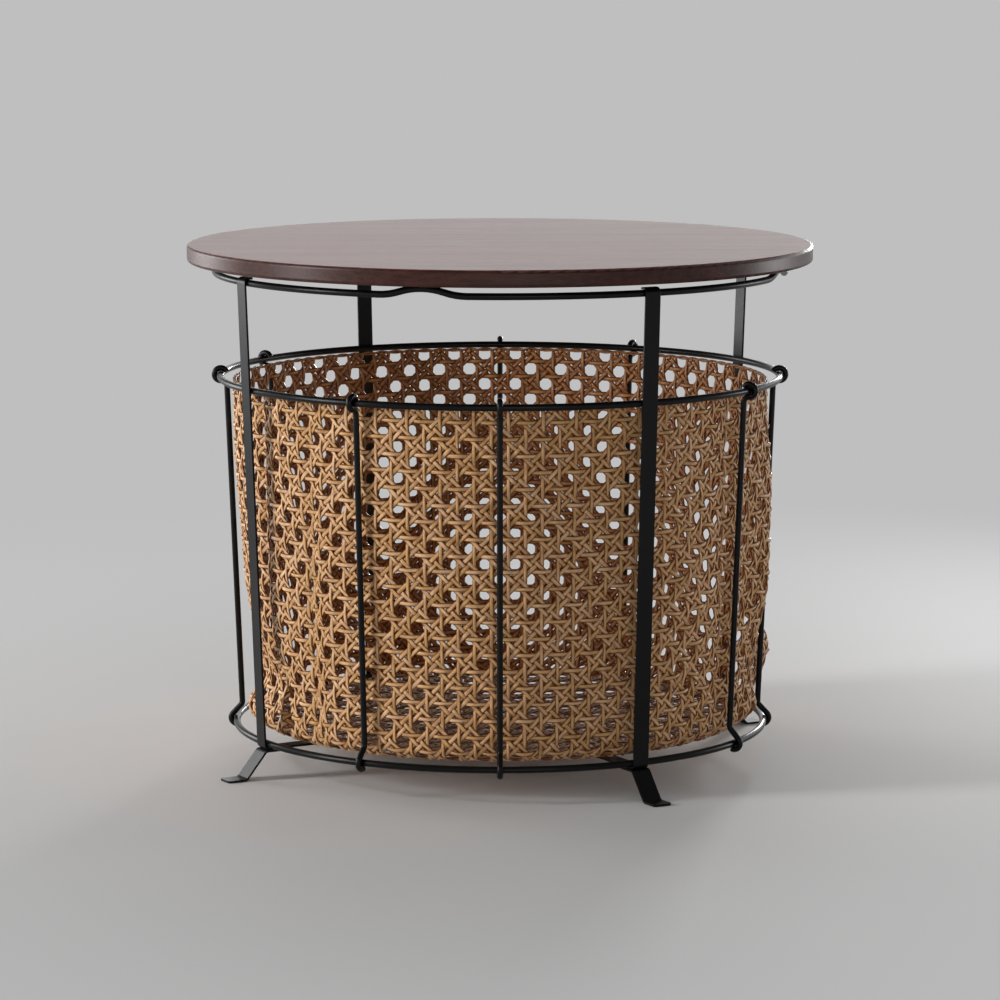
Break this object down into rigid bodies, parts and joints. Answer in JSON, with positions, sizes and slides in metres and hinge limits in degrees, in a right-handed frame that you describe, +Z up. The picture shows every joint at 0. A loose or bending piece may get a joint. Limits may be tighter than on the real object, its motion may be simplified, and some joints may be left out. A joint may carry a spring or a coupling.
{
  "type": "round coffee table with storage",
  "caption": "Round coffee table: a lift-off wooden top rests on a black wire cage with flat-bar legs, which holds a loose woven cane storage basket.",
  "frame": {"origin": "on the floor under the middle of the table", "axes": "+Z up along the table's axis, -Y towards the front of the pictured view"},
  "size_m": [0.5999, 0.6, 0.4965],
  "materials": {
    "top_wood": "dark stained wood with a satin lacquer",
    "black_steel": "satin black powder coat",
    "cane": "natural peeled cane, semi-matt",
    "buffer_rubber": "matt black rubber",
    "screw_steel": "zinc-plated steel"
  },
  "bodies": {
    "frame": {"top_ring": "black_steel", "rim_ring": "black_steel", "base_ring": "black_steel", "leg_front_right": "black_steel", "leg_back_right": "black_steel", "leg_back_left": "black_steel", "leg_front_left": "black_steel", "foot_front_right": "black_steel", "foot_back_right": "black_steel", "foot_back_left": "black_steel", "foot_front_left": "black_steel", "upright_front": "black_steel", "upright_front_right": "black_steel", "upright_right": "black_steel", "upright_back_right": "black_steel", "upright_back": "black_steel", "upright_back_left": "black_steel", "upright_left": "black_steel", "upright_front_left": "black_steel"},
    "top": {"tabletop": "top_wood", "locating_buffers": "buffer_rubber", "buffer_screws": "screw_steel"},
    "basket": {"basket_wall": "cane", "basket_lower_edge": "cane", "basket_floor": "cane"}
  },
  "joints": [
    {"name": "top_lift", "type": "slide", "parent": "frame", "child": "top", "axis": [0, 0, 1], "range_m": [0, 0.12]},
    {"name": "basket_lift", "type": "slide", "parent": "frame", "child": "basket", "axis": [0, 0, 1], "range_m": [0, 0.1]}
  ]
}
